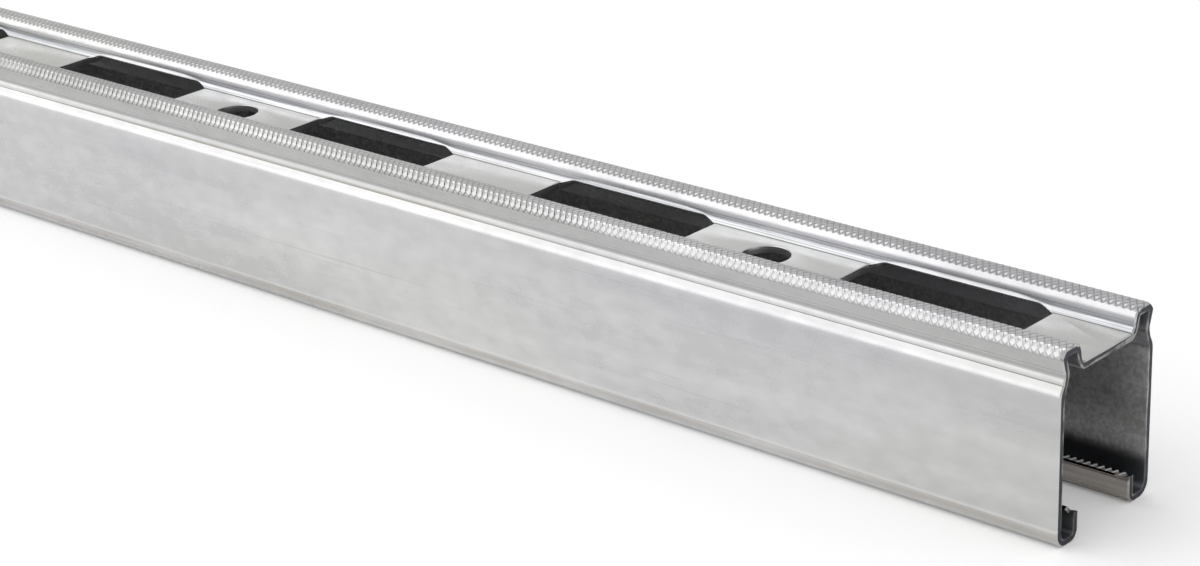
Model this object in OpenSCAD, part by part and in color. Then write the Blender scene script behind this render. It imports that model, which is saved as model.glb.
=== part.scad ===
// Punched strut channel, roll-formed from one strip of galvanised steel.
// The channel lies on its lips with its slotted back upwards. X runs along the
// channel, Y across it and Z up. The origin is at mid length, on the floor, midway
// between the side walls.

/* [Channel] */
// Length of the cut piece
channel_length = 1000; // [400:200:6000]
// Width over the side walls
channel_width = 41; // [41:0.5:46]
// Height from the underside of the lips to the tops of the ridges
channel_height = 51; // [40:1:83]
// Thickness of the steel strip
sheet = 2; // [1.5:0.1:2.2]

/* [Back] */
// Depth of the flat web below the tops of the ridges
web_recess = 5.5; // [5:0.1:7]
// Width of the flat of the web, between the bends at its sides
web_flat = 20.4; // [18:0.1:21]
// Bend from the web up into the inner side of a ridge, on the visible side
foot_bend = 1.5; // [1:0.1:2]
// Bend at the inner top of a ridge, on the visible side
crown_bend = 2.5; // [2.4:0.1:2.8]
// Bend at the outer top of a ridge, on the visible side
brow_bend = 2.4; // [2.3:0.1:2.8]

/* [Side groove] */
// Bend where the side wall starts to lean in, on the visible side
shoulder_bend = 5; // [4:0.5:6]
// Length of the straight slope from that bend up to the bottom of the groove
shoulder_slope = 4; // [3:0.25:5]
// Bend at the bottom of the groove, on the visible side
waist_bend = 1.25; // [0.75:0.25:1.75]
// Length of the straight slope from there out to the overhanging ridge
ridge_slope = 3; // [2:0.25:3.5]

/* [Lips] */
// Clear mouth between the two lips
mouth = 22.5; // [21:0.5:24]
// Height of the lips' upturned edges
lip_height = 7.5; // [6:0.5:9]
// Bend from the side wall into the lip, on the visible side
heel_bend = 4; // [3:0.25:4.5]
// Bend from the lip's underside into its upturned edge, on the visible side
lip_bend = 3; // [2.5:0.25:3.5]

/* [Punching] */
// Length of a slot
slot_length = 55; // [40:1:60]
// Width of a slot, which runs out into the bends beside the web
slot_width = 22.5; // [20:0.5:23]
// Corner radius of a slot
slot_corner = 2; // [1:0.5:8]
// Diameter of a round hole
hole_d = 13; // [9:0.5:18]
// Length of strip after which the punched pattern repeats
punch_repeat = 200; // [200:10:240]
// Web left between two slots that have a round hole between them
web_with_hole = 50; // [40:1:60]
// Web from the +X end to the first slot
end_web = 22; // [10:1:30]

/* [Hidden] */
$fn = 96;

half_width = channel_width / 2;
web_top = channel_height - web_recess;
repeats = floor(channel_length / punch_repeat);

// Both slopes of the groove lean alike. They follow the triangle 44-117-125, so that
// the ends of the bends fall on round coordinates.
groove_lean = asin(44 / 125);

// Reach of the wedge that cuts a bend out of a ring
wedge_reach = 20;
// Height of the punch above and below the web
punch_reach = 4;

function heading(angle) = [cos(angle), sin(angle)];

// Centres of the bends, as [across, up]. From the top of the ridge down to the wall
// the heights follow one another, and from the wall back up the widths do.
foot = [web_flat / 2, web_top + foot_bend];
crown = [foot.x + foot_bend + crown_bend, channel_height - crown_bend];
brow_z = channel_height - brow_bend;
waist_z = brow_z - (brow_bend + waist_bend) * sin(groove_lean) - ridge_slope * cos(groove_lean);
shoulder_z = waist_z - (waist_bend + shoulder_bend) * sin(groove_lean)
    - shoulder_slope * cos(groove_lean);
shoulder = [half_width - shoulder_bend, shoulder_z];
waist_y = shoulder.x + (shoulder_bend + waist_bend) * cos(groove_lean)
    - shoulder_slope * sin(groove_lean);
waist = [waist_y, waist_z];
brow = [waist_y - (waist_bend + brow_bend) * cos(groove_lean) + ridge_slope * sin(groove_lean), brow_z];
heel = [half_width - heel_bend, heel_bend];
lip = [mouth / 2 + lip_bend, lip_bend];

// A bend of the strip: the part of a ring from one angle to the other
module bend(centre, inside, from, to) {
    translate(centre)
        intersection() {
            difference() {
                circle(r = inside + sheet);
                circle(r = inside);
            }
            polygon([[0, 0], wedge_reach * heading(from), wedge_reach * heading(to)]);
        }
}

// A straight of the strip, which leaves a bend at the given angle
module slope(centre, inside, angle, start, run) {
    translate(centre)
        rotate(angle)
            translate([inside, start])
                square([sheet, run]);
}

// An upright or level straight between two corners
module straight(low, high) {
    translate(low)
        square(high - low);
}

// One side of the section: ridge, groove, side wall and lip
module side_section() {
    bend(foot, foot_bend, 270, 360);
    straight([foot.x + foot_bend, foot.y], [foot.x + foot_bend + sheet, crown.y]);
    bend(crown, crown_bend - sheet, 90, 180);
    straight([crown.x, channel_height - sheet], [brow.x, channel_height]);
    bend(brow, brow_bend - sheet, -groove_lean, 90);
    slope(waist, waist_bend, 180 - groove_lean, -ridge_slope, ridge_slope);
    bend(waist, waist_bend, 180 - groove_lean, 180 + groove_lean);
    slope(shoulder, shoulder_bend - sheet, groove_lean, 0, shoulder_slope);
    bend(shoulder, shoulder_bend - sheet, 0, groove_lean);
    straight([half_width - sheet, heel.y], [half_width, shoulder.y]);
    bend(heel, heel_bend - sheet, 270, 360);
    straight([lip.x, 0], [heel.x, sheet]);
    bend(lip, lip_bend - sheet, 180, 270);
    straight([mouth / 2, lip.y], [mouth / 2 + sheet, lip_height]);
}

// The whole section of the rolled strip
module section() {
    side_section();
    mirror([1, 0])
        side_section();
    straight([-web_flat / 2, web_top - sheet], [web_flat / 2, web_top]);
}

// The channel before punching
module rolled_strip() {
    translate([-channel_length / 2, 0, 0])
        rotate([90, 0, 90])
            linear_extrude(channel_length)
                section();
}

module slot_outline() {
    corner_x = slot_length / 2 - slot_corner;
    corner_y = slot_width / 2 - slot_corner;
    square([slot_length, 2 * corner_y], center = true);
    square([2 * corner_x, slot_width], center = true);
    for (x = [-corner_x, corner_x], y = [-corner_y, corner_y])
        translate([x, y])
            circle(r = slot_corner);
}

// Two slots and the round hole between them, with the first slot's end at x = 0
module punched_group() {
    translate([-slot_length / 2, 0])
        slot_outline();
    translate([-slot_length - web_with_hole / 2, 0])
        circle(d = hole_d);
    translate([-slot_length * 1.5 - web_with_hole, 0])
        slot_outline();
}

// The punches for the whole length
module punches() {
    for (i = [0 : repeats - 1])
        translate([channel_length / 2 - end_web - i * punch_repeat, 0, web_top - sheet - punch_reach])
            linear_extrude(sheet + 2 * punch_reach)
                punched_group();
}

module strut_channel() {
    color([0.74, 0.75, 0.76])
        difference() {
            rolled_strip();
            punches();
        }
}

strut_channel();
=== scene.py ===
import math

import bmesh
import bpy
from mathutils import Matrix, Vector
from mathutils.geometry import intersect_point_line, tessellate_polygon


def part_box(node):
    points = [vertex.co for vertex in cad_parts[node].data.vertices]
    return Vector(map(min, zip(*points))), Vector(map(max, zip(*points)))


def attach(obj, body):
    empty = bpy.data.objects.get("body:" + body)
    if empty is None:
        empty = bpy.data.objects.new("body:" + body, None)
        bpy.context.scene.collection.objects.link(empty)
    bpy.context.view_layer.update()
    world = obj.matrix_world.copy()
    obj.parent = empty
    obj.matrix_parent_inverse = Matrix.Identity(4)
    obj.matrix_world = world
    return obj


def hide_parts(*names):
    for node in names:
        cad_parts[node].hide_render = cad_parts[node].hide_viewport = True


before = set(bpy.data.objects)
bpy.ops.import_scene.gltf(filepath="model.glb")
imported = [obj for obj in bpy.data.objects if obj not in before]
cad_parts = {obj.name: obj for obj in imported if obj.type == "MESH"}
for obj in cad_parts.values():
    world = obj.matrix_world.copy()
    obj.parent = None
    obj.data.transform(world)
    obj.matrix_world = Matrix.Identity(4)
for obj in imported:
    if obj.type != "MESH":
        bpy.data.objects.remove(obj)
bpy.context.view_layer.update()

# The strut channel: one length of stock, rolled from a single strip of galvanised steel, 2 mm thick.
# Its +Y half is laid out below as rows of points along X, from the middle of the web over the ridge
# and down the side to the lip, and the other half is its mirror image.

MM = 0.001
bar_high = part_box("strut_channel")[1]
half_length = bar_high.x
half_width = bar_high.y
height = bar_high.z
sheet = 2 * MM
web_recess = 5.5 * MM
web_half = 10.2 * MM
foot_bend = 1.5 * MM
crown_bend = 2.5 * MM
brow_bend = 2.4 * MM
ridge_slope = 3 * MM
waist_bend = 1.25 * MM
shoulder_slope = 4 * MM
shoulder_bend = 5 * MM
heel_bend = 4 * MM
lip_bend = 3 * MM
mouth_half = 11.25 * MM
lip_height = 7.5 * MM
groove_lean = math.asin(44 / 125)

lean_in = math.sin(groove_lean)
lean_up = math.cos(groove_lean)
web_top = height - web_recess
ridge_inner = web_half + foot_bend
crown = (ridge_inner + crown_bend, height - crown_bend)
brow_z = height - brow_bend
waist_z = brow_z - (brow_bend + waist_bend) * lean_in - ridge_slope * lean_up
shoulder_z = waist_z - (waist_bend + shoulder_bend) * lean_in - shoulder_slope * lean_up
shoulder = (half_width - shoulder_bend, shoulder_z)
waist_y = shoulder[0] + (shoulder_bend + waist_bend) * lean_up - shoulder_slope * lean_in
waist = (waist_y, waist_z)
brow = (waist_y - (waist_bend + brow_bend) * lean_up + ridge_slope * lean_in, brow_z)
heel = (half_width - heel_bend, heel_bend)
lip = (mouth_half + lip_bend, lip_bend)

# Every corner is x, y, z and its depth below the strip's rolled face, which the finishes use
corners = []
facets = []
finishes = []
ROLLED, KNURLED, PUNCHED, CUT_END, INSIDE = range(5)

# How far from the ends the shear has drawn the strip in, and how close corners are when they are one
burr = 0.35 * MM
weld = 0.002 * MM

# The rolls pressed unevenly: least at one place, and again after every turn of a roll
roll_turn = 400 * MM
least_pressed = 440 * MM
press_swing = 0.75


def paired_strip(first, second, finish):
    """Quads between two rows that have a point for each other's points."""
    start = len(corners)
    corners.extend(first)
    corners.extend(second)
    count = len(first)
    for k in range(count - 1):
        facets.append((start + k, start + k + 1, start + count + k + 1, start + count + k))
        finishes.append(finish)


def ruled_strip(first, second, finish):
    """Facets between two rows that run the same way along X, with stations of their own."""
    start = len(corners)
    corners.extend(first)
    corners.extend(second)
    a, b = 0, 0
    while a + 1 < len(first) or b + 1 < len(second):
        next_a = first[a + 1][0] if a + 1 < len(first) else math.inf
        next_b = second[b + 1][0] if b + 1 < len(second) else math.inf
        here, there = start + a, start + len(first) + b
        if abs(next_a - next_b) < weld:
            facets.append((here, here + 1, there + 1, there))
            a, b = a + 1, b + 1
        elif next_a < next_b:
            facets.append((here, here + 1, there))
            a += 1
        else:
            facets.append((here, there + 1, there))
            b += 1
        finishes.append(finish)


def roll_press(x):
    """How hard the rolls pressed along the bar, from 0 to 1 and back over each turn of a roll."""
    turn = 2 * math.pi * (x - least_pressed) / roll_turn
    return min(press_swing - press_swing * math.cos(turn), 1)


def bend(centre, radius, first, last, steps, hollow=False):
    """Places and outward normals of the rolled face round a bend, from one angle to another, with no
    sink. The centre of a hollow bend lies on the side of that face."""
    rows = []
    side = -1 if hollow else 1
    for k in range(steps + 1):
        angle = math.radians(first + (last - first) * k / steps)
        across, up = math.cos(angle), math.sin(angle)
        place = (centre[0] + radius * across, centre[1] + radius * up)
        rows.append((*place, side * across, side * up, 0, 0))
    return rows


def marked_flat(before, after, marks):
    """Rows on the flat between two rows. Each mark is a distance from the first row, how far the rolls
    have pressed the strip in there, and how much further where they pressed most."""
    run = math.hypot(after[0] - before[0], after[1] - before[1])
    rows = []
    for distance, *pressed in marks:
        row = [p + (q - p) * distance / run for p, q in zip(before, after)]
        rows.append((*row[:4], *pressed))
    return rows


def with_flats(rows):
    """The rows with one more just past each end of every long flat, so that the flat is shaded flat."""
    margin = 0.4 * MM
    full = [rows[0]]
    for before, after in zip(rows, rows[1:]):
        run = math.hypot(after[0] - before[0], after[1] - before[1])
        if run > 4 * margin:
            for share in (margin / run, 1 - margin / run):
                full.append(tuple(p + (q - p) * share for p, q in zip(before, after)))
        full.append(after)
    return full


def stretched(stations, row, depth):
    """A row of the section drawn out along X, on the rolled face or as deep below it as given."""
    y, z, normal_y, normal_z, sink, pressed_sink = row
    deeps = [depth + sink + pressed_sink * roll_press(x) for x in stations]
    return [(x, y - normal_y * deep, z - normal_z * deep, deep) for x, deep in zip(stations, deeps)]


def skin(rows, stations, depth, finish):
    """The strips between all rows of one face of the strip."""
    lines = [stretched(stations, row, depth) for row in rows]
    for first, second in zip(lines, lines[1:]):
        ruled_strip(first, second, finish)
    return lines


# The punching: slots wider than the flat of the web, and a round hole after every other one. They
# were punched in the flat strip, before it was rolled, and the punch rolled their upper edges in. Where
# a slot has cut the web away, the foot of the ridge isn't held by it and keeps an opener bend.

end_web = 22 * MM
slot_length = 55 * MM
slot_side = 12 * MM
slot_corner = 2 * MM
corner_run = 5 * MM
corner_bulge = 0.4
hole_radius = 6.5 * MM
web_with_hole = 50 * MM
punch_repeat = 200 * MM
edge_roll = 0.3 * MM
foot_opening = 0.9 * MM
opening_run = 13 * MM

# The slope of the ridges' inner walls beside the web and beside a slot, and where it ends
wall_lean = 0.2
slot_lean = 0.17
lean_top = height - 2.1 * MM

slots = []
holes = []
for k in range(int(2 * half_length / punch_repeat + 0.5)):
    first_end = half_length - end_web - k * punch_repeat
    second_end = first_end - slot_length - web_with_hole
    slots.append((first_end - slot_length, first_end))
    slots.append((second_end - slot_length, second_end))
    holes.append(second_end + web_with_hole / 2)
slots.sort()

# Where the foot's bend ends and where a slot's corner has its centre, both measured on the flat strip
foot_end = web_half + foot_bend * math.pi / 2
corner_middle = slot_side - slot_corner
FLAT_STEPS, FOOT_STEPS, FREE_STEPS, HOLE_STEPS = 3, 6, 5, 20
free_steps = [opening_run * k / FREE_STEPS for k in range(1, FREE_STEPS + 1)]


def freed(x):
    """How far the foot is free of the web: 0 beside the web, 1 along the middle of a slot."""
    for start, end in slots:
        beside = min(x - start, end - x)
        if beside > 0:
            share = min(beside / opening_run, 1)
            return share * share * (3 - 2 * share)
    return 0


def leaning(x, z):
    """How far the inner wall of a ridge leans towards the web at some height."""
    return (wall_lean + (slot_lean - wall_lean) * freed(x)) * max(lean_top - z, 0)


def foot_radius(x):
    """Radius of the bend at the ridge's foot, on the rolled face."""
    return foot_bend + foot_opening * freed(x)


def foot_turn(x, across):
    """How far round the foot's bend a point of the flat strip has come, from the web upwards."""
    radius = foot_radius(x)
    return math.pi / 2 - (foot_end - across + radius - foot_bend) / radius


def on_foot(x, turn, depth):
    """A point round the foot's bend, as deep below the rolled face as given."""
    radius = foot_radius(x)
    reach = radius + depth
    z = web_top + radius - reach * math.cos(turn)
    y = ridge_inner - radius + (reach - leaning(x, z)) * math.sin(turn)
    return (x, y, z, depth)


def rolled_up(x, across, depth):
    """Where a point of the flat strip lies once the strip is rolled."""
    if across <= web_half + weld:
        return (x, across, web_top - depth, depth)
    return on_foot(x, foot_turn(x, across), depth)


def slot_edge(start, end, roll):
    """Half a slot's outline on the flat strip, from its middle line round to its middle line again,
    pushed outwards by the roll. Its corners lie between a straight cut and a round."""
    reach, run = slot_corner + roll, corner_run + roll
    meets_foot = math.asin((web_half - corner_middle) / reach)
    turns = [meets_foot * k / FLAT_STEPS for k in range(FLAT_STEPS)]
    turns += [meets_foot + (math.pi / 2 - meets_foot) * k / FOOT_STEPS for k in range(FOOT_STEPS + 1)]
    left = [(start - roll, 0)]
    for turn in turns:
        away = corner_bulge * math.cos(turn) + (1 - corner_bulge) * (1 - math.sin(turn))
        left.append((start + corner_run - run * away, corner_middle + reach * math.sin(turn)))
    left += [(start + corner_run + step, slot_side + roll) for step in free_steps]
    return left + [(start + end - x, across) for x, across in reversed(left)]


FLAT_POINTS = FLAT_STEPS + 2


def slot_row(slot, roll, depth):
    """The slot's outline as it lies once the strip is rolled."""
    return [rolled_up(x, across, depth) for x, across in slot_edge(*slot, roll)]


def hole_row(centre, radius, depth):
    """Half the outline of a round hole, from +X round to -X."""
    turns = [math.pi * k / HOLE_STEPS for k in range(HOLE_STEPS + 1)]
    return [(centre + radius * math.cos(turn), radius * math.sin(turn), web_top - depth, depth)
            for turn in turns]


def foot_line(roll):
    """Where the bend of the foot starts all along the strip: at the flat web, or at a slot's side."""
    line = [(-half_length, web_half), (-half_length + burr, web_half)]
    for slot in slots:
        line += slot_edge(*slot, roll)[FLAT_POINTS - 1:1 - FLAT_POINTS]
    return line + [(half_length - burr, web_half), (half_length, web_half)]


def foot_rows(roll, depth):
    """Rows round the foot of the ridge, from the web or the slot's side up to the ridge's inner wall."""
    steps = 8
    starts = [(x, foot_turn(x, across)) for x, across in foot_line(roll)]
    return [[on_foot(x, start + (math.pi / 2 - start) * k / steps, depth) for x, start in starts]
            for k in range(steps + 1)]


def web_plate(left, right, hole, roll, depth, finish):
    """Half the flat web between two slots, or between a slot and the end of the bar."""
    outline = [(-half_length + burr, web_half), (-half_length + burr, 0)]
    if left:
        outline = slot_edge(*left, roll)[-FLAT_POINTS:]
    if hole is not None:
        outline += [point[:2] for point in reversed(hole_row(hole, hole_radius + roll, depth))]
    if right:
        outline += slot_edge(*right, roll)[:FLAT_POINTS]
    else:
        outline += [(half_length - burr, 0), (half_length - burr, web_half)]
    start = len(corners)
    corners.extend((x, y, web_top - depth, depth) for x, y in outline)
    for triangle in tessellate_polygon([[Vector((x, y, 0)) for x, y in outline]]):
        facets.append(tuple(start + k for k in triangle))
        finishes.append(finish)


# The punch's rolled-in edge, a quarter round from the rolled face into the hole, and the hole's wall
roll_turns = [math.radians(22.5 * k) for k in range(5)]
rolls = [(edge_roll * (1 - math.sin(turn)), edge_roll * (1 - math.cos(turn))) for turn in roll_turns]
rolls.append((0, sheet))

walls = [[slot_row(slot, roll, depth) for roll, depth in rolls] for slot in slots]
walls += [[hole_row(centre, hole_radius + roll, depth) for roll, depth in rolls] for centre in holes]
for wall in walls:
    for first, second in zip(wall, wall[1:]):
        paired_strip(first, second, PUNCHED)

for left, right in zip([None] + slots, slots + [None]):
    start = left[1] if left else -half_length
    end = right[0] if right else half_length
    hole = next((centre for centre in holes if start < centre < end), None)
    web_plate(left, right, hole, edge_roll, 0, ROLLED)
    web_plate(left, right, hole, 0, sheet, INSIDE)

for side in (-1, 1):
    for depth, finish in ((0, ROLLED), (sheet, INSIDE)):
        ends = [side * half_length, side * (half_length - burr)]
        middle, edge = [[(x, y, web_top - depth, depth) for x in ends] for y in (0, web_half)]
        paired_strip(middle, edge, finish)

# The ridges: each is bent up from the web, over its knurled top and down under an overhanging brow.
# The knurling was rolled into the strip as crossed grooves that leave diamonds between them, from
# the outermost line of the brow over the top to the crown's inner side.

knurl_pitch = 2 * MM
knurl_rows = 6
row_rise = 1.52 * MM
knurl_low = math.radians(-3)
brow_run = brow_bend * (math.pi / 2 - knurl_low)
top_run = brow[0] - crown[0]
knurl_high = math.pi / 2 + (knurl_rows * row_rise - brow_run - top_run) / crown_bend
columns = int(half_length / knurl_pitch * 2 + 0.5)

# How deep the grooves are where they cross, for each row from the brow to the crown
knurl_grooves = [0.12 * MM, 0.22 * MM, 0.14 * MM, 0.16 * MM, 0.17 * MM, 0.13 * MM, 0.1 * MM]

# On the brow the roll starts to bite at one share of full press, and bites fully so much above it.
# Where it doesn't bite, a small share of the grooves is left.
bite_start = 0.45
bite_run = 0.2
least_bite = 0.03

# Elsewhere its bite wavers a little, in two waves that turn by so many radians from column to column
waver = 0.15
short_wave = 0.021
long_wave = 0.0057

# Each diamond has a face and a flank around it, and these are their corners: at the sides, above and
# below. A corner is how far it lies along the bar and up the section, as shares of the way to the tips,
# and its depth as a share of the groove's. Above the brow and at the crown's inner side the face is
# steep, with one corner deeper than the grooves.
scallop = (((0.5, 0, 1), (0, 0.22, 0), (0, 0, 1)),
           ((0.8, 0, 1), (0, 0.4, 0), (0, 0, 1)))
on_brow = (((0.86, 0, 0), (0, 0.86, 0), (0, -0.5, 0)),
           ((0.93, 0, 0.5), (0, 0.93, 0.5), (0, -0.7, 0)))
above_brow = (((0.56, 0.36, 0), (0, 0.56, 0), (0, -0.1, 3.8)),
              ((0.64, 0.34, 0.2), (0, 0.8, 0), (0, -0.5, 0)))
on_top = (((0.6, 0, 0), (0, 0.6, 0), (0, -0.6, 0)),
          ((0.8, 0, 0.45), (0, 0.8, 0.45), (0, -0.8, 0.45)))
on_crown = (((0.5, 0.22, 0), (0, 0.68, 2.6), (0, -0.1, 0)),
            ((0.66, 0.2, 0.2), (0, 0.84, 0), (0, -0.8, 0)))
knurl_cells = [scallop, on_brow, above_brow, on_top, on_top, on_crown, on_top]


def ridge_point(x, run, sink):
    """A point on the knurled face, the run along the section up from the brow, sunk by some depth."""
    if run < brow_run:
        centre, radius, turn = brow, brow_bend, knurl_low + run / brow_bend
    elif run < brow_run + top_run:
        return (x, brow[0] - (run - brow_run), height - sink, sink)
    else:
        centre, radius = crown, crown_bend
        turn = math.pi / 2 + (run - brow_run - top_run) / crown_bend
    reach = radius - sink
    return (x, centre[0] + reach * math.cos(turn), centre[1] + reach * math.sin(turn), sink)


def groove_depth(column, row):
    """How deep the groove is here. The roll bit unevenly along the bar, and in places hardly at all
    round the diamonds on the brow."""
    if row in (0, knurl_rows):
        share = 1
    elif row in (1, 2):
        bite = min(max((roll_press(column * knurl_pitch / 2) - bite_start) / bite_run, 0), 1)
        share = least_bite + (1 - least_bite) * bite
    else:
        share = 1 - waver + waver * math.sin(column * short_wave) * math.sin(column * long_wave + 1)
    return knurl_grooves[row] * share


def knurl_tip(column, row):
    """A place where the grooves cross."""
    return ridge_point(column * knurl_pitch / 2, row * row_rise, groove_depth(column, row))


def knurl_corner(column, row, toward, ring):
    """The corner of a diamond's face or flank that points to one of its tips. One deeper than the
    grooves is as bright as the rolled face and so counts as not sunk."""
    along, rise, share = ring[toward[1]]
    x = (column + toward[0] * along) * knurl_pitch / 2
    run = (row + rise) * row_rise
    if share > 1:
        return (*ridge_point(x, run, knurl_grooves[row] * share)[:3], 0)
    return ridge_point(x, run, groove_depth(column, row) * share)


TIPS = [(1, 0), (0, 1), (-1, 0), (0, -1)]
for column in range(-columns, columns + 1):
    for row in range(knurl_rows + 1):
        if (column + row) % 2 == 0:
            continue
        tips = [(along, rise) for along, rise in TIPS
                if abs(column + along) <= columns and 0 <= row + rise <= knurl_rows]
        start = len(corners)
        for ring in knurl_cells[row]:
            corners.extend(knurl_corner(column, row, tip, ring) for tip in tips)
        corners.extend(knurl_tip(column + tip[0], row + tip[1]) for tip in tips)
        facets.append(tuple(range(start, start + len(tips))))
        finishes.append(KNURLED)
        for k, tip in enumerate(tips):
            beside = (k + 1) % len(tips)
            if tip[0] + tips[beside][0] == 0 and tip[1] + tips[beside][1] == 0:
                continue
            for ring in (start, start + len(tips)):
                outer = ring + len(tips)
                facets.append((ring + k, outer + k, outer + beside, ring + beside))
                finishes.append(KNURLED)


def knurl_border(row):
    """The points on the lowest or highest line of the knurling."""
    top, flank = knurl_cells[row]
    line = []
    for column in range(-columns, columns + 1):
        if (column + row) % 2 == 0:
            line.append(knurl_tip(column, row))
            continue
        if column > -columns:
            line += [knurl_corner(column, row, (-1, 0), ring) for ring in (flank, top)]
        if column < columns:
            line += [knurl_corner(column, row, (1, 0), ring) for ring in (top, flank)]
    return line


close_stations = [k * knurl_pitch / 2 for k in range(-columns, columns + 1)]
close_stations[1:1] = [-half_length + burr]
close_stations[-1:-1] = [half_length - burr]

foot_visible = foot_rows(edge_roll, 0)
foot_hidden = foot_rows(0, sheet)
for rows, finish in ((foot_visible, ROLLED), (foot_hidden, INSIDE)):
    for first, second in zip(rows, rows[1:]):
        ruled_strip(first, second, finish)

visible_stations = [point[0] for point in foot_visible[0]]

# The knurling's edge fades into the plain face over these few degrees
settle = 8
knurl_end = math.degrees(knurl_high)
inner_crown = bend(crown, crown_bend, 180, knurl_end + settle, steps=5)
inner_lines = []
for row in inner_crown[:-1]:
    line = stretched(visible_stations, row, 0)
    inner_lines.append([(x, y - leaning(x, z), z, depth) for x, y, z, depth in line])
for first, second in zip(inner_lines, inner_lines[1:]):
    paired_strip(first, second, ROLLED)
ruled_strip(foot_visible[-1], inner_lines[0], ROLLED)
crown_settle = stretched(close_stations, inner_crown[-1], 0)
ruled_strip(inner_lines[-1], crown_settle, ROLLED)
ruled_strip(crown_settle, knurl_border(knurl_rows), ROLLED)

# The side: from the brow down through the groove, the wall and the heel to the lip, whose edge is
# turned up into the channel and cut into teeth that bite into a channel nut. The rolls have left fine
# lines along it: beside the groove's bottom, on the slope below it, on the wall and above the heel.

wall_stations = [-half_length, -half_length + burr]
wall_stations += [half_length * k / 10 for k in range(-9, 10)]
wall_stations += [half_length - burr, half_length]
lean = math.degrees(groove_lean)
brow_sink = knurl_grooves[0]

# The lines on each flat, from the brow down
under_line = [(ridge_slope - 0.4 * MM, 0, 0), (ridge_slope - 0.2 * MM, 0.07 * MM, 0)]
over_line = [(0.45 * MM, 0.2 * MM, 0), (0.6 * MM, 0.2 * MM, 0)]
crease = [(1.5 * MM, 0.22 * MM, 0.19 * MM), (1.85 * MM, 0.3 * MM, 0.12 * MM), (1.98 * MM, 0.46 * MM, 0),
          (2.1 * MM, 0.3 * MM, 0)]
seam_height = 29.8 * MM
seam_place = shoulder_z - seam_height
seam = [(seam_place - 0.2 * MM, 0, 0), (seam_place, 0.04 * MM, 0), (seam_place + 0.2 * MM, 0, 0)]
ledge_height = 5 * MM
ledge_place = shoulder_z - ledge_height
ledge = [(ledge_place - 0.7 * MM, 0, 0), (ledge_place - 0.12 * MM, 0.07 * MM, -0.06 * MM),
         (ledge_place + 0.12 * MM, -0.01 * MM, 0.01 * MM), (ledge_place + 0.9 * MM, 0.04 * MM, 0)]

under_brow = bend(brow, brow_bend, math.degrees(knurl_low) - settle, -lean, steps=3)
under_brow = [(*row[:4], brow_sink, 0) for row in under_brow]
in_groove = bend(waist, waist_bend, 180 - lean, 180 + lean, steps=7, hollow=True)

# The groove's bottom sinks gently towards the line below it
groove_sinks = [0, 0, 0, 0, 0.01 * MM, 0.03 * MM, 0.055 * MM, 0.08 * MM]
pressed_groove = [(*row[:4], sink, 0) for row, sink in zip(in_groove, groove_sinks)]
over_wall = bend(shoulder, shoulder_bend, lean, 0, steps=5)
round_heel = bend(heel, heel_bend, 0, -90, steps=10)
round_lip = bend(lip, lip_bend, -90, -180, steps=9)
teeth_margin = 1 * MM
lip_top = [(mouth_half, lip_height - teeth_margin, -1, 0, 0, 0)]
side_rows = under_brow + marked_flat(under_brow[-1], in_groove[0], under_line)
side_rows += pressed_groove + marked_flat(in_groove[-1], over_wall[0], over_line + crease)
side_rows += over_wall + marked_flat(over_wall[-1], round_heel[0], seam + ledge)
side_rows = with_flats(side_rows + round_heel + round_lip + lip_top)
side_lines = skin(side_rows[1:], wall_stations, 0, ROLLED)
brow_settle = stretched(close_stations, side_rows[0], 0)
ruled_strip(knurl_border(0), brow_settle, ROLLED)
ruled_strip(brow_settle, side_lines[0], ROLLED)

crown_inside = bend(crown, crown_bend, 180, 90, steps=5)
brow_inside = bend(brow, brow_bend, 90, -lean, steps=7)
wall_inside = in_groove + over_wall + round_heel + round_lip + lip_top
hidden_rows = with_flats(crown_inside + brow_inside + wall_inside)
hidden_lines = skin(hidden_rows, wall_stations, sheet, INSIDE)
ruled_strip(foot_hidden[-1], hidden_lines[0], INSIDE)

tooth_pitch = 2 * MM
tooth_depth = 0.6 * MM
tooth_slant = 0.35 * MM

# The corners of one tooth: shares of the pitch, and heights
tooth_profile = [(0, 0), (0.22, 0), (0.55, -tooth_depth)]


def toothed_row(depth, slant):
    """The top edge of the lip along one of its faces. Each tooth has a narrow level top and a notch."""
    y = mouth_half + depth
    line = [(-half_length, y, lip_height, depth)]
    for k in range(int(2 * half_length / tooth_pitch) - 1):
        for share, rise in tooth_profile:
            x = -half_length + (k + 0.5 + share) * tooth_pitch + slant
            line.append((x, y, lip_height + rise, depth))
    return line + [(half_length, y, lip_height, depth)]


tooth_front = toothed_row(0, -tooth_slant)
tooth_back = toothed_row(sheet, tooth_slant)
ruled_strip(side_lines[-1], tooth_front, ROLLED)
paired_strip(tooth_front, tooth_back, PUNCHED)
ruled_strip(hidden_lines[-1], tooth_back, INSIDE)

# Both halves are joined into one closed skin. The ends were cropped square: the shear has drawn the
# outer edge in, and the burr at the inner edge was taken off, so both edges move towards each other.

drawn_in = 0.45 * MM
deburred = 0.12 * MM

mirrored = [(x, -y, z, depth) for x, y, z, depth in corners]
offset = len(corners)
both = facets + [tuple(offset + k for k in reversed(facet)) for facet in facets]
channel_mesh = bpy.data.meshes.new("channel")
channel_mesh.from_pydata([corner[:3] for corner in corners + mirrored], [], both)
channel_mesh.polygons.foreach_set("material_index", finishes * 2)
sunk = channel_mesh.attributes.new("sunk", "FLOAT", "POINT")
sunk.data.foreach_set("value", [corner[3] / MM for corner in corners + mirrored])

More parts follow.
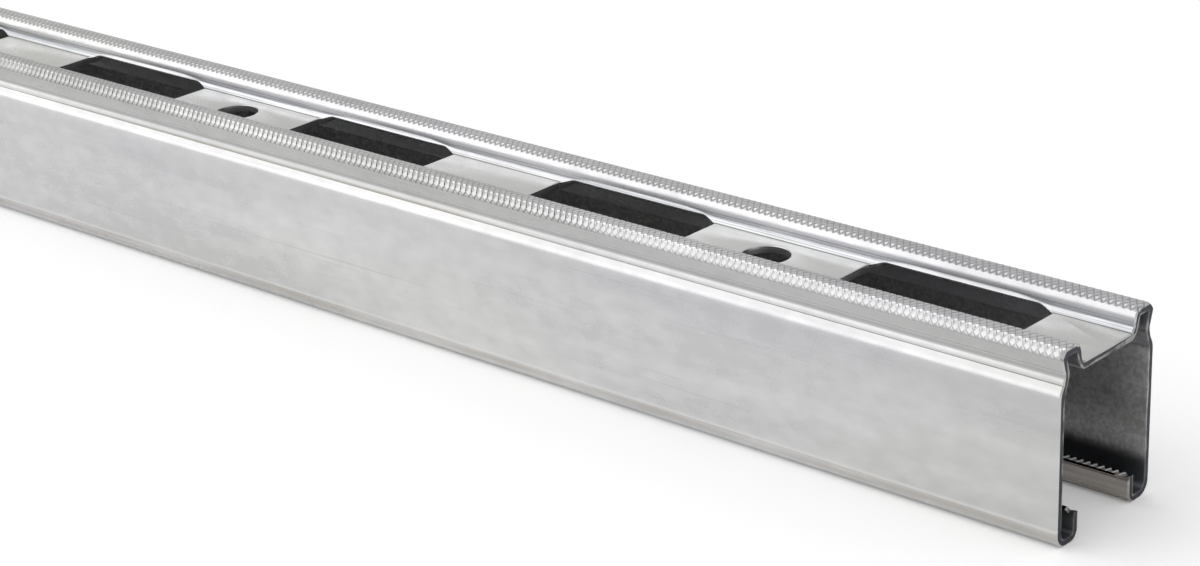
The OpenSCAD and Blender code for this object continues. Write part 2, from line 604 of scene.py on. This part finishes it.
shape = bmesh.new()
shape.from_mesh(channel_mesh)
bmesh.ops.remove_doubles(shape, verts=shape.verts, dist=weld)
bmesh.ops.recalc_face_normals(shape, faces=shape.faces)
rims = [edge for edge in shape.edges if edge.is_boundary]
rim_points = {vertex for edge in rims for vertex in edge.verts}
depth_layer = shape.verts.layers.float["sunk"]
inner_points = {vertex for vertex in rim_points if vertex[depth_layer] > sheet / MM / 2}
inside_rims = [edge for edge in rims if inner_points.issuperset(edge.verts)]
rolled_rims = [edge for edge in rims if inner_points.isdisjoint(edge.verts)]


def nearest_on(edges, place):
    """The nearest point on any of the edges."""
    points = []
    for edge in edges:
        first, second = (vertex.co for vertex in edge.verts)
        share = intersect_point_line(place, first, second)[1]
        points.append(first.lerp(second, min(max(share, 0), 1)))
    return min(points, key=lambda point: (point - place).length)


places = {}
for vertex in rim_points:
    facing, inset = (rolled_rims, deburred) if vertex in inner_points else (inside_rims, drawn_in)
    inwards = nearest_on(facing, vertex.co) - vertex.co
    places[vertex] = vertex.co + inwards.normalized() * inset
for vertex, place in places.items():
    vertex.co = place
caps = bmesh.ops.holes_fill(shape, edges=rims, sides=0)["faces"]
for face in shape.faces:
    face.smooth = True
for cap in caps:
    cap.material_index = CUT_END
    cap.smooth = False
bmesh.ops.recalc_face_normals(shape, faces=shape.faces)
shape.to_mesh(channel_mesh)
shape.free()
channel_mesh.set_sharp_from_angle(angle=math.radians(28))
channel = bpy.data.objects.new("channel", channel_mesh)
bpy.context.scene.collection.objects.link(channel)

# The zinc finish. The strip was galvanised before it was rolled: a pale, slightly clouded coat with
# faint lines along the bar, where the rolls ran. The knurling is darker in its grooves, from painted
# shade as well as dirt, and rubbed bright on its diamonds, the cut edges are bare steel, and the inside
# has kept its mill haze, with painted shade in its hollows.


def shader_group(name, inputs, outputs):
    """An empty node group with its sockets, and its input and output nodes."""
    group = bpy.data.node_groups.new(name, "ShaderNodeTree")
    for label, value in inputs:
        kind = "NodeSocketColor" if isinstance(value, tuple) else "NodeSocketFloat"
        socket = group.interface.new_socket(label, in_out="INPUT", socket_type=kind)
        socket.default_value = value
    for label, kind in outputs:
        group.interface.new_socket(label, in_out="OUTPUT", socket_type=kind)
    return group, group.nodes.new("NodeGroupInput"), group.nodes.new("NodeGroupOutput")


def set_socket(tree, socket, value):
    """Links a socket to another one, or sets it to a number or a colour."""
    if isinstance(value, bpy.types.NodeSocket):
        tree.links.new(value, socket)
    else:
        socket.default_value = value


def patches(tree, size, detail, seed):
    """Noise over the bar, whose patches have the given size in metres along X, Y and Z."""
    place = tree.nodes.new("ShaderNodeTexCoord")
    mapping = tree.nodes.new("ShaderNodeMapping")
    mapping.inputs["Scale"].default_value = [1 / extent for extent in size]
    mapping.inputs["Location"].default_value = (seed, seed * 0.7, seed * 0.3)
    noise = tree.nodes.new("ShaderNodeTexNoise")
    noise.inputs["Scale"].default_value = 1
    noise.inputs["Detail"].default_value = detail
    tree.links.new(place.outputs["Object"], mapping.inputs["Vector"])
    tree.links.new(mapping.outputs["Vector"], noise.inputs["Vector"])
    return noise.outputs["Fac"]


def calculation(tree, operation, *values):
    """A Math node, whose inputs are sockets or numbers."""
    node = tree.nodes.new("ShaderNodeMath")
    node.operation = operation
    for socket, value in zip(node.inputs, values):
        set_socket(tree, socket, value)
    return node.outputs["Value"]


def product(tree, first, *others):
    """Sockets or numbers multiplied together."""
    for other in others:
        first = calculation(tree, "MULTIPLY", first, other)
    return first


def spread(tree, value, low, high, first, second):
    """A value from one range carried over to another, and held at its ends."""
    node = tree.nodes.new("ShaderNodeMapRange")
    for socket, number in zip(node.inputs, (value, low, high, first, second)):
        set_socket(tree, socket, number)
    return node.outputs["Result"]


def blend_colour(tree, share, first, second):
    """A colour between two others."""
    node = tree.nodes.new("ShaderNodeMix")
    node.data_type = "RGBA"
    sockets = [socket for socket in node.inputs if socket.enabled]
    for socket, value in zip(sockets, (share, first, second)):
        set_socket(tree, socket, value)
    return next(socket for socket in node.outputs if socket.enabled)


def placed(tree, group, **values):
    """A node group put into a material, with its own values. Spaces in socket names are underscores."""
    node = tree.nodes.new("ShaderNodeGroup")
    node.node_tree = group
    for label, value in values.items():
        set_socket(tree, node.inputs[label.replace("_", " ")], value)
    return node.outputs


# Haze: clouds of duller zinc, which dim the metal and roughen it, with a drift from cool to warm grey
haze, given, result = shader_group(
    "zinc_haze",
    [("Base", (0.8, 0.8, 0.8, 1)), ("Dimming", 0.1), ("Clear", 0.2), ("Hazy", 0.35)],
    [("Color", "NodeSocketColor"), ("Roughness", "NodeSocketFloat")])
clouds = patches(haze, (0.11, 0.013, 0.013), 4, 3.1)
flecks = patches(haze, (0.007, 0.004, 0.004), 3, 8.4)
mottle = calculation(haze, "ADD", product(haze, clouds, 0.65), product(haze, flecks, 0.35))
cover = spread(haze, mottle, 0.38, 0.62, 0, 1)
drift = spread(haze, patches(haze, (0.16, 0.08, 0.08), 1, 5.7), 0.35, 0.65, 0, 1)
tone = blend_colour(haze, drift, (0.965, 0.965, 1, 1), (0.985, 0.983, 0.975, 1))
shade = calculation(haze, "SUBTRACT", 1, product(haze, cover, given.outputs["Dimming"]))
toned = haze.nodes.new("ShaderNodeVectorMath")
toned.operation = "MULTIPLY"
haze.links.new(given.outputs["Base"], toned.inputs[0])
haze.links.new(tone, toned.inputs[1])
dimmed = haze.nodes.new("ShaderNodeVectorMath")
dimmed.operation = "SCALE"
haze.links.new(toned.outputs["Vector"], dimmed.inputs[0])
haze.links.new(shade, dimmed.inputs["Scale"])
haze.links.new(dimmed.outputs["Vector"], result.inputs["Color"])
rough = spread(haze, cover, 0, 1, given.outputs["Clear"], given.outputs["Hazy"])
haze.links.new(rough, result.inputs["Roughness"])

# Roll lines: shallow waves drawn out along the bar, and sparse thin scratches
lines, given, result = shader_group(
    "roll_lines", [("Waves", 1.0), ("Grain", 0.3)],
    [("Height", "NodeSocketFloat"), ("Scratch", "NodeSocketFloat")])
waves = product(lines, patches(lines, (0.7, 0.0011, 0.0011), 3, 2.2), given.outputs["Waves"])
grain = product(lines, patches(lines, (0.0012, 0.0007, 0.0007), 2, 6.5), given.outputs["Grain"])
lines.links.new(calculation(lines, "ADD", waves, grain), result.inputs["Height"])
thin = patches(lines, (0.09, 0.0006, 0.0006), 1, 9.3)
lines.links.new(spread(lines, thin, 0.7, 0.76, 0, 1), result.inputs["Scratch"])


def finish_material(name):
    """A metal material, with its node tree and its shader."""
    material = bpy.data.materials.new(name)
    material.use_nodes = True
    shader = material.node_tree.nodes["Principled BSDF"]
    shader.inputs["Metallic"].default_value = 1
    channel_mesh.materials.append(material)
    return material.node_tree, shader


def depth_below_face(tree):
    """How far the surface lies below the rolled face of the strip, in millimetres."""
    node = tree.nodes.new("ShaderNodeAttribute")
    node.attribute_name = "sunk"
    return node.outputs["Fac"]


def place_on_bar(tree):
    """How far a point lies from mid length, from the middle line and from the floor, in metres."""
    place = tree.nodes.new("ShaderNodeTexCoord")
    part = tree.nodes.new("ShaderNodeSeparateXYZ")
    tree.links.new(place.outputs["Object"], part.inputs["Vector"])
    along = calculation(tree, "ABSOLUTE", part.outputs["X"])
    across = calculation(tree, "ABSOLUTE", part.outputs["Y"])
    return along, across, part.outputs["Z"]


def distance_from(tree, value, middle):
    """How far a value is from another."""
    return calculation(tree, "ABSOLUTE", calculation(tree, "SUBTRACT", value, middle))


def surface(tree, shader, colour, roughness, height, rise):
    """Links a finish to its shader. The height makes bump that rises by the given distance in metres."""
    bump = tree.nodes.new("ShaderNodeBump")
    bump.inputs["Distance"].default_value = rise
    tree.links.new(height, bump.inputs["Height"])
    tree.links.new(bump.outputs["Normal"], shader.inputs["Normal"])
    tree.links.new(colour, shader.inputs["Base Color"])
    tree.links.new(roughness, shader.inputs["Roughness"])


# The rolled face: scratched zinc, darker along the lines the rolls pressed in, with painted shade where
# it is sunk under the brow and in the side groove, and darker still in a crease below the groove. Its
# finish changes at these distances from the bar's middle line and end, and at these heights.
lip_reach = 15 * MM
side_reach = 18 * MM
end_run = 90 * MM
heel_reflection_band = (2.4 * MM, 4.6 * MM)
lip_stain = 8 * MM
wall_top_band = (26 * MM, 36 * MM)

tree, shader = finish_material("rolled_zinc")
coat = placed(tree, haze, Base=(0.85, 0.85, 0.85, 1), Dimming=0.18, Clear=0.17, Hazy=0.3)
marks = placed(tree, lines, Waves=1.0, Grain=0.6)
pressed = depth_below_face(tree)
zinc = blend_colour(tree, product(tree, marks["Scratch"], 0.3), coat["Color"], (0.45, 0.45, 0.46, 1))
# Darker along the pressed roll lines, and painted shade where the face is sunk under the brow and in the
# groove
pressed_lines_and_shade = spread(tree, pressed, 0.03, 0.13, 0, 0.25)
zinc = blend_colour(tree, pressed_lines_and_shade, zinc, (0.5, 0.49, 0.47, 1))
# Painted shade, dark brown, down in the crease on the slope below the groove
crease_shade = spread(tree, pressed, 0.37, 0.46, 0, 0.8)
zinc = blend_colour(tree, crease_shade, zinc, (0.27, 0.24, 0.16, 1))

# The flat web is a warmer grey. Painted shade and grime darken its corners, painted shade darkens the
# bottom of the side groove and the overhang above it, and grime is smeared on the lips.
along, across, up = place_on_bar(tree)
# Patches for the real smears on the lips and for the painted reflection on the heel
stain_and_reflection_patches = patches(tree, (0.05, 0.0015, 0.0015), 3, 3.6)
on_web = calculation(tree, "GREATER_THAN", up, 0.9 * web_top)
on_side = calculation(tree, "GREATER_THAN", across, side_reach)
flat_web = spread(tree, distance_from(tree, up, web_top), 0.05 * MM, 0.1 * MM, 0.5, 0)
zinc = blend_colour(tree, flat_web, zinc, (0.79, 0.79, 0.74, 1))
# Painted shade and grime along the web's corners
corner_shade_and_grime = spread(tree, distance_from(tree, across, web_half), 0.1 * MM, 0.4 * MM, 0.75, 0)
zinc = blend_colour(tree, product(tree, corner_shade_and_grime, on_web), zinc, (0.2, 0.19, 0.14, 1))
# Painted shade at the bottom of the side groove
groove_bottom_shade = spread(tree, distance_from(tree, up, waist_z - 0.15 * MM), 0.3 * MM, 0.75 * MM, 0.6, 0)
zinc = blend_colour(tree, product(tree, groove_bottom_shade, on_side), zinc, (0.34, 0.34, 0.33, 1))
# Painted shade on the overhang above the side groove
overhang_shade = spread(tree, up, waist_z, waist_z + 1 * MM, 0, 0.45)
zinc = blend_colour(tree, product(tree, overhang_shade, on_side), zinc, (0.48, 0.475, 0.46, 1))
on_lip = product(tree, calculation(tree, "LESS_THAN", across, lip_reach),
                 calculation(tree, "LESS_THAN", up, lip_stain))
smeared = product(tree, spread(tree, stain_and_reflection_patches, 0.3, 0.7, 0.3, 0.9), on_lip)
zinc = blend_colour(tree, smeared, zinc, (0.38, 0.32, 0.28, 1))

# Painted shade: darker bands at the bar's ends, and along the top of its side walls
end_shade = spread(tree, along, half_length - end_run, half_length, 0, 0.22)
zinc = blend_colour(tree, end_shade, zinc, (0.46, 0.46, 0.41, 1))
# Painted shade along the top of the side walls
high = product(tree, spread(tree, up, *wall_top_band, 0, 0.22),
               calculation(tree, "LESS_THAN", up, shoulder_z + 1 * MM))
zinc = blend_colour(tree, product(tree, high, on_side), zinc, (0.46, 0.46, 0.48, 1))

# Painted reflection of the floor: a patchy brown band on the heel under its ledge, and a painted
# highlight along the ledge
heel_reflection_mask = product(tree, on_side, calculation(tree, "GREATER_THAN", up, heel_reflection_band[0]),
                      calculation(tree, "LESS_THAN", up, heel_reflection_band[1]))
floor_reflection = product(tree, heel_reflection_mask, spread(tree, stain_and_reflection_patches, 0.35, 0.65, 0.1, 0.6))
zinc = blend_colour(tree, floor_reflection, zinc, (0.5, 0.46, 0.41, 1))
# Painted highlight: a pale line along the ledge
ledge_highlight = spread(tree, distance_from(tree, up, ledge_height), 0.2 * MM, 0.5 * MM, 0.35, 0)
zinc = blend_colour(tree, product(tree, ledge_highlight, on_side), zinc, (0.97, 0.97, 0.96, 1))

# Streaks drawn along the feet of the ridges as the strip was bent
streaks = spread(tree, patches(tree, (0.06, 0.0005, 0.0005), 2, 6.1), 0.48, 0.58, 0, 0.65)
on_foot_band = calculation(tree, "LESS_THAN", distance_from(tree, across, slot_side), 1.4 * MM)
low_foot = product(tree, on_web, calculation(tree, "LESS_THAN", up, web_top + 2.5 * MM))
streaked = product(tree, streaks, on_foot_band, low_foot)
zinc = blend_colour(tree, streaked, zinc, (0.36, 0.39, 0.44, 1))
surface(tree, shader, zinc, coat["Roughness"], marks["Height"], 0.006 * MM)

# The knurling: darker in its grooves, from painted shade as well as dirt, and with painted shade on the
# brow
tree, shader = finish_material("knurled_zinc")
groove = spread(tree, depth_below_face(tree), 0.01, 0.15, 0, 1)
ground = blend_colour(tree, groove, (0.84, 0.84, 0.83, 1), (0.48, 0.48, 0.47, 1))
across, up = place_on_bar(tree)[1:]
past_brow = calculation(tree, "GREATER_THAN", across, brow[0])
low_brow = spread(tree, up, brow_z + 0.2 * MM, brow_z + 0.65 * MM, 0.6, 0.3)
below_top = spread(tree, up, height - 0.5 * MM, height - 0.3 * MM, 1, 0)
shaded = product(tree, low_brow, past_brow, below_top)
ground = blend_colour(tree, shaded, ground, (0.42, 0.42, 0.41, 1))
coat = placed(tree, haze, Base=ground, Dimming=0.2, Clear=0.24, Hazy=0.4)
marks = placed(tree, lines, Waves=0.2, Grain=3.5)
surface(tree, shader, coat["Color"], coat["Roughness"], marks["Height"], 0.012 * MM)

# The punched edges: bright where the punch cut and darker where the steel broke away, and nearly black
# down in the notches between the teeth
mid_height = 0.5 * web_top

tree, shader = finish_material("punched_edge")
up = place_on_bar(tree)[2]
fracture = product(tree, spread(tree, depth_below_face(tree), 0.3, 1.1, 0, 1),
                   calculation(tree, "GREATER_THAN", up, mid_height))
bare = blend_colour(tree, fracture, (0.72, 0.72, 0.72, 1), (0.3, 0.3, 0.31, 1))
in_notch = product(tree, calculation(tree, "LESS_THAN", up, mid_height),
                   spread(tree, up, lip_height - 0.2 * MM, lip_height - 0.05 * MM, 0.85, 0))
bare = blend_colour(tree, in_notch, bare, (0.1, 0.1, 0.1, 1))
rough = spread(tree, fracture, 0, 1, 0.22, 0.5)
surface(tree, shader, bare, rough, patches(tree, (0.0003, 0.0003, 0.0012), 2, 1.4), 0.02 * MM)

# The cropped ends: dark torn steel with a paler rim along the inside
tree, shader = finish_material("cropped_end")
torn = patches(tree, (0.0012, 0.0005, 0.0016), 3, 4.8)
wide = patches(tree, (0.006, 0.006, 0.006), 1, 7.3)
burnished = calculation(tree, "MULTIPLY_ADD", wide, 3, depth_below_face(tree))
band = spread(tree, calculation(tree, "ADD", burnished, torn), 3.4, 4.0, 0, 1)
bare = blend_colour(tree, band, (0.075, 0.08, 0.09, 1), (0.36, 0.35, 0.34, 1))
surface(tree, shader, bare, spread(tree, band, 0, 1, 0.5, 0.32), torn, 0.05 * MM)

# The inside: speckled, with painted shade low down and up behind the groove
pocket = (8.5 * MM, 11 * MM)

tree, shader = finish_material("inner_zinc")
across, up = place_on_bar(tree)[1:]
# Painted shade low down inside, in the lip's pocket
pocket_shade = spread(tree, up, *pocket, 1, 0)
shaded_and_speckled = blend_colour(tree, pocket_shade, (0.78, 0.78, 0.78, 1), (0.28, 0.29, 0.31, 1))
# Painted shade up behind the groove
groove_inside_shade = product(tree, spread(tree, up, shoulder_z, shoulder_z + 1 * MM, 0, 0.7),
                        calculation(tree, "GREATER_THAN", across, ridge_inner))
shaded_and_speckled = blend_colour(tree, groove_inside_shade, shaded_and_speckled, (0.25, 0.26, 0.28, 1))
speckle = spread(tree, patches(tree, (0.001, 0.001, 0.001), 2, 2.9), 0.4, 0.6, 0, 0.4)
shaded_and_speckled = blend_colour(tree, speckle, shaded_and_speckled, (0.3, 0.3, 0.28, 1))
coat = placed(tree, haze, Base=shaded_and_speckled, Dimming=0.2, Clear=0.26, Hazy=0.38)
marks = placed(tree, lines, Waves=0.4, Grain=0.6)
surface(tree, shader, coat["Color"], coat["Roughness"], marks["Height"], 0.02 * MM)

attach(channel, "root")
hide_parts("strut_channel")

# The floor: a plain pale board under the bar. The camera sees it white, and metal mirrors it pale grey,
# with the bar's shadow.

floor_reach = 8
floor_mesh = bpy.data.meshes.new("floor")
floor_corners = [(x * floor_reach, y * floor_reach, 0) for x, y in ((-1, -1), (1, -1), (1, 1), (-1, 1))]
floor_mesh.from_pydata(floor_corners, [], [(0, 1, 2, 3)])
floor = bpy.data.objects.new("floor", floor_mesh)
bpy.context.scene.collection.objects.link(floor)
floor_paint = bpy.data.materials.new("floor_paint")
floor_paint.use_nodes = True
tree = floor_paint.node_tree
path = tree.nodes.new("ShaderNodeLightPath")
paint = tree.nodes["Principled BSDF"]
paint.inputs["Roughness"].default_value = 0.9
paint.inputs["Specular IOR Level"].default_value = 0
board = blend_colour(tree, path.outputs["Is Camera Ray"], (0.85, 0.85, 0.85, 1), (1, 1, 1, 1))
tree.links.new(board, paint.inputs["Base Color"])
paint.inputs["Emission Color"].default_value = (1, 1, 1, 1)
lift = product(tree, path.outputs["Is Camera Ray"], 0.1)
tree.links.new(lift, paint.inputs["Emission Strength"])
floor_mesh.materials.append(floor_paint)

# The light: an even white room, dimmer where metal mirrors it, and one large softbox in front of the
# bar on the camera's left.

world = bpy.data.worlds.new("studio")
world.use_nodes = True
tree = world.node_tree
path = tree.nodes.new("ShaderNodeLightPath")
glossy = calculation(tree, "MAXIMUM", path.outputs["Is Glossy Ray"], path.outputs["Is Transmission Ray"])
level = spread(tree, glossy, 0, 1, 0.8, 0.62)
shown = calculation(tree, "MAXIMUM", path.outputs["Is Camera Ray"], level)
tree.links.new(shown, tree.nodes["Background"].inputs["Strength"])
tree.nodes["Background"].inputs["Color"].default_value = (1, 1, 1, 1)
bpy.context.scene.world = world

softbox_data = bpy.data.lights.new("softbox", "AREA")
softbox_data.shape = "RECTANGLE"
softbox_data.size = 2.4
softbox_data.size_y = 2.2
softbox_data.energy = 12.4
softbox = bpy.data.objects.new("softbox", softbox_data)
softbox_way = Vector((-0.6, -0.62, 0.6))
softbox_distance = 1.7
softbox.location = Vector((half_length, 0, 0)) + softbox_way.normalized() * softbox_distance
softbox.rotation_euler = softbox_way.to_track_quat("Z", "Y").to_euler()
bpy.context.scene.collection.objects.link(softbox)

# The camera: low over the near end of the bar, looking along it, as in the photograph.

camera_place = Vector((half_length + 335.7 * MM, -554.3 * MM, 318.1 * MM))
azimuth = math.radians(41.76)
elevation = math.radians(21.58)
camera_roll = math.radians(-1.99)
level_reach = math.cos(elevation)
back = Vector((math.sin(azimuth) * level_reach, -math.cos(azimuth) * level_reach, math.sin(elevation)))
camera_data = bpy.data.cameras.new("camera")
camera_data.sensor_width = 36
camera_data.lens = 88.6
camera = bpy.data.objects.new("camera", camera_data)
turned = back.to_track_quat("Z", "Y").to_matrix().to_4x4()
rolled = Matrix.Rotation(camera_roll, 4, "Z")
camera.matrix_world = Matrix.Translation(camera_place) @ turned @ rolled
bpy.context.scene.collection.objects.link(camera)
bpy.context.scene.camera = camera
bpy.context.scene.view_settings.view_transform = "Standard"
